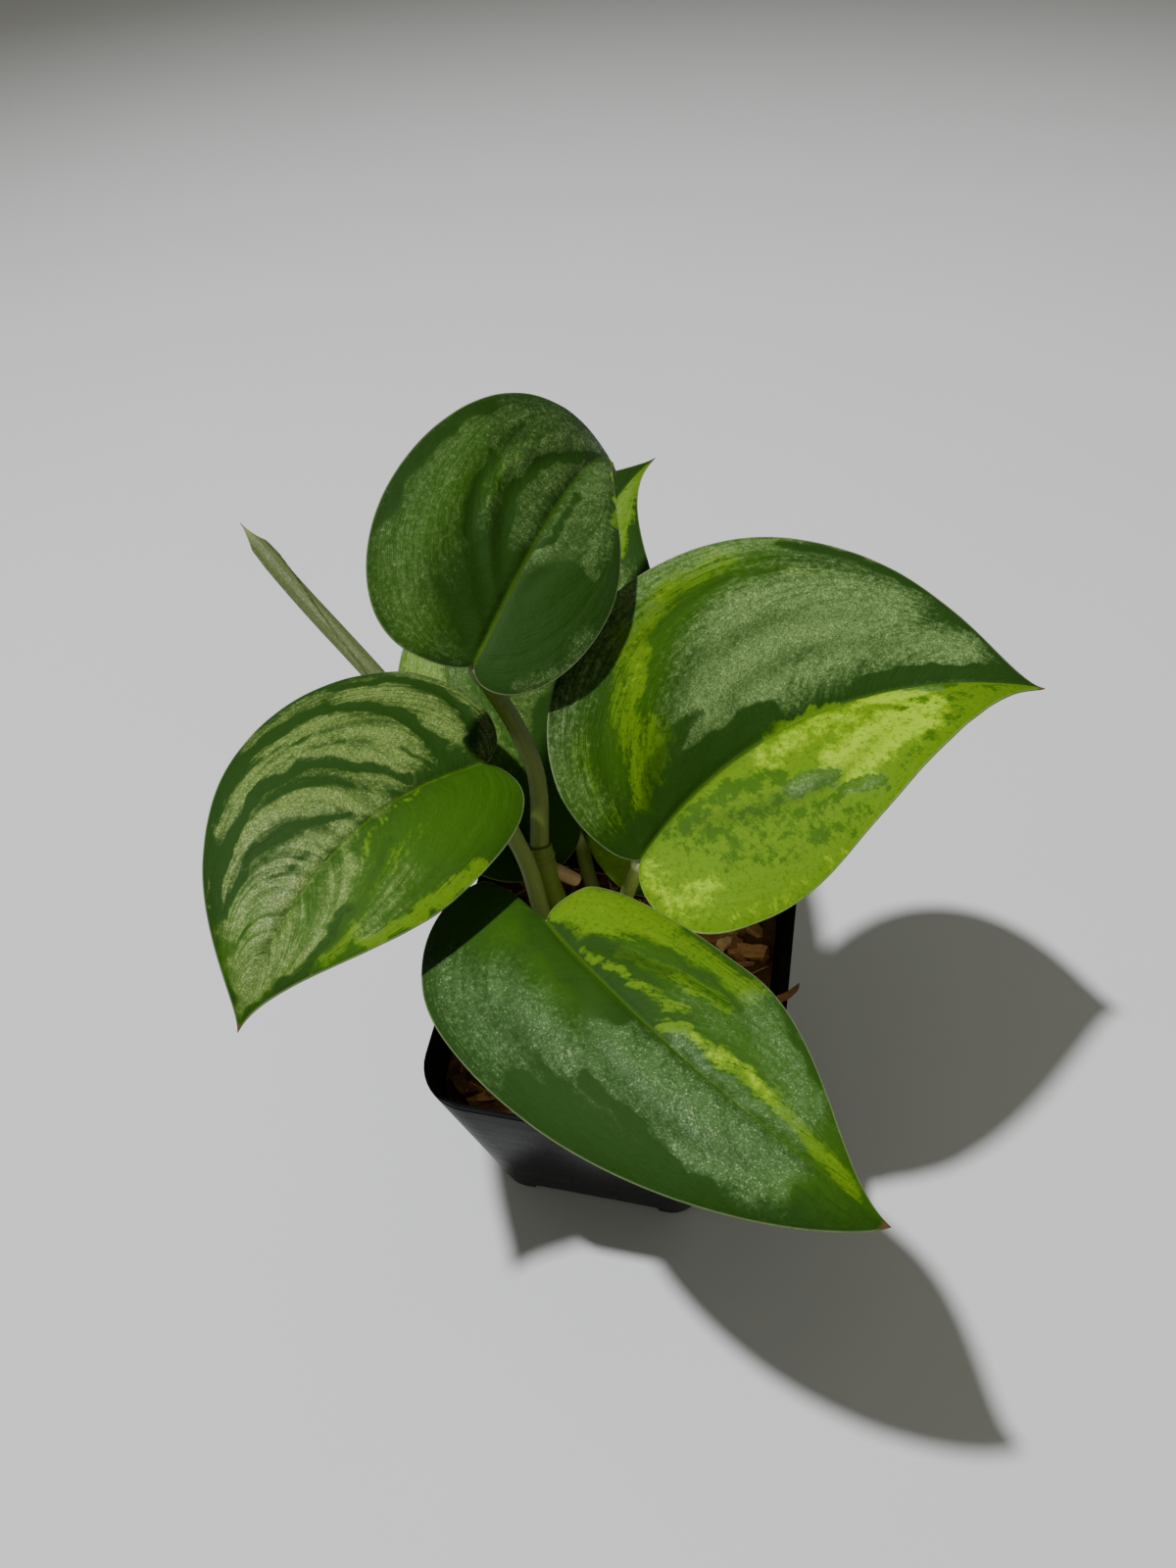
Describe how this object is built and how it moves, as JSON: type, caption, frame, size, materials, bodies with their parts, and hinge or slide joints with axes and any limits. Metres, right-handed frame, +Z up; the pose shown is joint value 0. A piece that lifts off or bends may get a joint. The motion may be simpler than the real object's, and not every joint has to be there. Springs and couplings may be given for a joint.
{
  "type": "potted satin pothos",
  "caption": "Young satin pothos with heart-shaped, silver-mottled green and lime leaves and a rolled new leaf, rooted in bark mix in a small square black nursery pot.",
  "frame": {"origin": "centre of the pot's underside, on the surface it stands on", "axes": "+Z up; the pot's sides are square to X and Y; the front leaf points to +X and -Y"},
  "size_m": [0.1949, 0.2083, 0.1767],
  "materials": {
    "pot_plastic": "thin matte black plastic",
    "bark_mix": "rough bark and coir chips",
    "stem_skin": "smooth olive-green stem skin",
    "stalk_skin": "smooth grey-green stalk skin",
    "leaf_top_skin": "satin dark green with silver mottling",
    "leaf_left_skin": "satin green with silver bands and a lime edge",
    "leaf_right_skin": "satin, one half green and silver, the other lime",
    "leaf_front_skin": "satin green with silver speckle and a lime half",
    "leaf_back_skin": "satin silver-green with lime streaks",
    "rolled_leaf_skin": "satin grey-green with a dry brown tip"
  },
  "bodies": {
    "root": {"pot": "pot_plastic", "growing_mix": "bark_mix", "stem": "stem_skin", "stalk_top": "stalk_skin", "stalk_left": "stalk_skin", "stalk_right": "stalk_skin", "stalk_front": "stalk_skin", "stalk_back": "stalk_skin", "leaf_top": "leaf_top_skin", "leaf_left": "leaf_left_skin", "leaf_right": "leaf_right_skin", "leaf_front": "leaf_front_skin", "leaf_back": "leaf_back_skin", "rolled_leaf": "rolled_leaf_skin"}
  },
  "joints": []
}
